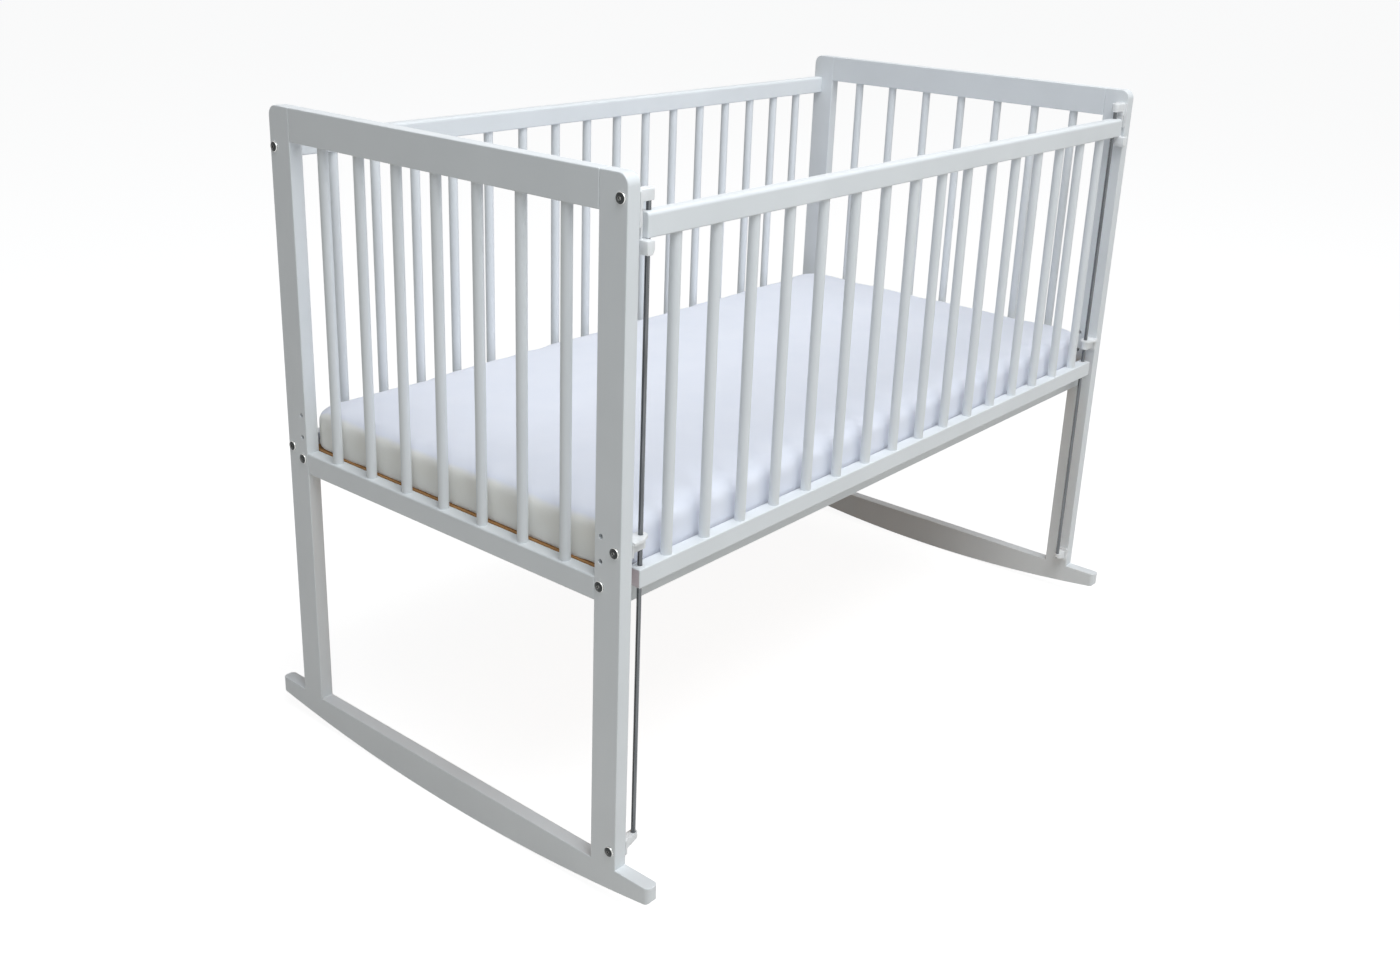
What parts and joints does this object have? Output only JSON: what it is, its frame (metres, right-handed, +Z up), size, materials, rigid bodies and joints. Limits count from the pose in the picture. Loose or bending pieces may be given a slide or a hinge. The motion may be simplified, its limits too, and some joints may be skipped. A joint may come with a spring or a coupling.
{
  "type": "rocking crib",
  "caption": "White painted wooden rocking crib with round balusters, a drop side on steel rods with sprung catches, a height-adjustable base, a foam mattress and curved rockers.",
  "frame": {"origin": "on the floor, at the middle of the crib's length and width, where the rockers touch at rest", "axes": "+X along the crib's length towards the right end, +Y from the drop side towards the back, +Z up"},
  "size_m": [1.2494, 0.752, 0.92],
  "materials": {
    "painted_wood": "satin white paint over solid wood, faint grain, eased edges",
    "white_plastic": "glossy white moulded plastic",
    "rod_steel": "drawn round bar, bright plated",
    "bolt_steel": "zinc plated domed bolt heads with a hexagon socket",
    "board": "bare brown hardboard with a fibrous edge",
    "mattress_cover": "white woven cover over a cream foam slab"
  },
  "bodies": {
    "frame": {"left_front_post": "painted_wood", "left_back_post": "painted_wood", "left_end_top_rail": "painted_wood", "left_end_lower_rail_and_balusters": "painted_wood", "left_rocker": "painted_wood", "right_front_post": "painted_wood", "right_back_post": "painted_wood", "right_end_top_rail": "painted_wood", "right_end_lower_rail_and_balusters": "painted_wood", "right_rocker": "painted_wood", "back_top_rail": "painted_wood", "back_lower_rail_and_balusters": "painted_wood", "front_bearer": "painted_wood", "back_bearer": "painted_wood", "base_board": "board", "left_rod": "rod_steel", "left_top_bracket": "white_plastic", "left_middle_guide": "white_plastic", "left_foot_bracket": "white_plastic", "left_top_bracket_bolt": "bolt_steel", "left_middle_guide_bolt": "bolt_steel", "left_foot_bracket_bolt": "bolt_steel", "left_front_bearer_bolt": "bolt_steel", "left_back_bearer_bolt": "bolt_steel", "left_back_top_rail_bolt": "bolt_steel", "left_back_lower_rail_bolt": "bolt_steel", "right_rod": "rod_steel", "right_top_bracket": "white_plastic", "right_middle_guide": "white_plastic", "right_foot_bracket": "white_plastic", "right_top_bracket_bolt": "bolt_steel", "right_middle_guide_bolt": "bolt_steel", "right_foot_bracket_bolt": "bolt_steel", "right_front_bearer_bolt": "bolt_steel", "right_back_bearer_bolt": "bolt_steel", "right_back_top_rail_bolt": "bolt_steel", "right_back_lower_rail_bolt": "bolt_steel"},
    "drop_side": {"drop_side_top_rail": "painted_wood", "drop_side_lower_rail": "painted_wood", "drop_side_baluster_01": "painted_wood", "drop_side_baluster_02": "painted_wood", "drop_side_baluster_03": "painted_wood", "drop_side_baluster_04": "painted_wood", "drop_side_baluster_05": "painted_wood", "drop_side_baluster_06": "painted_wood", "drop_side_baluster_07": "painted_wood", "drop_side_baluster_08": "painted_wood", "drop_side_baluster_09": "painted_wood", "drop_side_baluster_10": "painted_wood", "drop_side_baluster_11": "painted_wood", "drop_side_baluster_12": "painted_wood", "drop_side_baluster_13": "painted_wood", "drop_side_baluster_14": "painted_wood", "drop_side_baluster_15": "painted_wood", "drop_side_baluster_16": "painted_wood"},
    "left_catch_lever": {"left_catch": "white_plastic"},
    "right_catch_lever": {"right_catch": "white_plastic"},
    "mattress_pad": {"mattress": "mattress_cover"}
  },
  "joints": [
    {"name": "drop_side_slide", "type": "slide", "parent": "frame", "child": "drop_side", "axis": [0, 0, -1], "range_m": [-0.01, 0.345]},
    {"name": "left_catch_press", "type": "hinge", "parent": "frame", "child": "left_catch_lever", "pos_m": [-0.59475, -0.3105, 0.879], "axis": [0, 1, 0], "range_deg": [0, 5.2], "stiffness_Nm_per_rad": 1.5},
    {"name": "right_catch_press", "type": "hinge", "parent": "frame", "child": "right_catch_lever", "pos_m": [0.59475, -0.3105, 0.879], "axis": [0, -1, 0], "range_deg": [0, 5.2], "stiffness_Nm_per_rad": 1.5},
    {"name": "mattress_lift", "type": "slide", "parent": "frame", "child": "mattress_pad", "axis": [0, 0, 1], "range_m": [0, 0.48]}
  ]
}
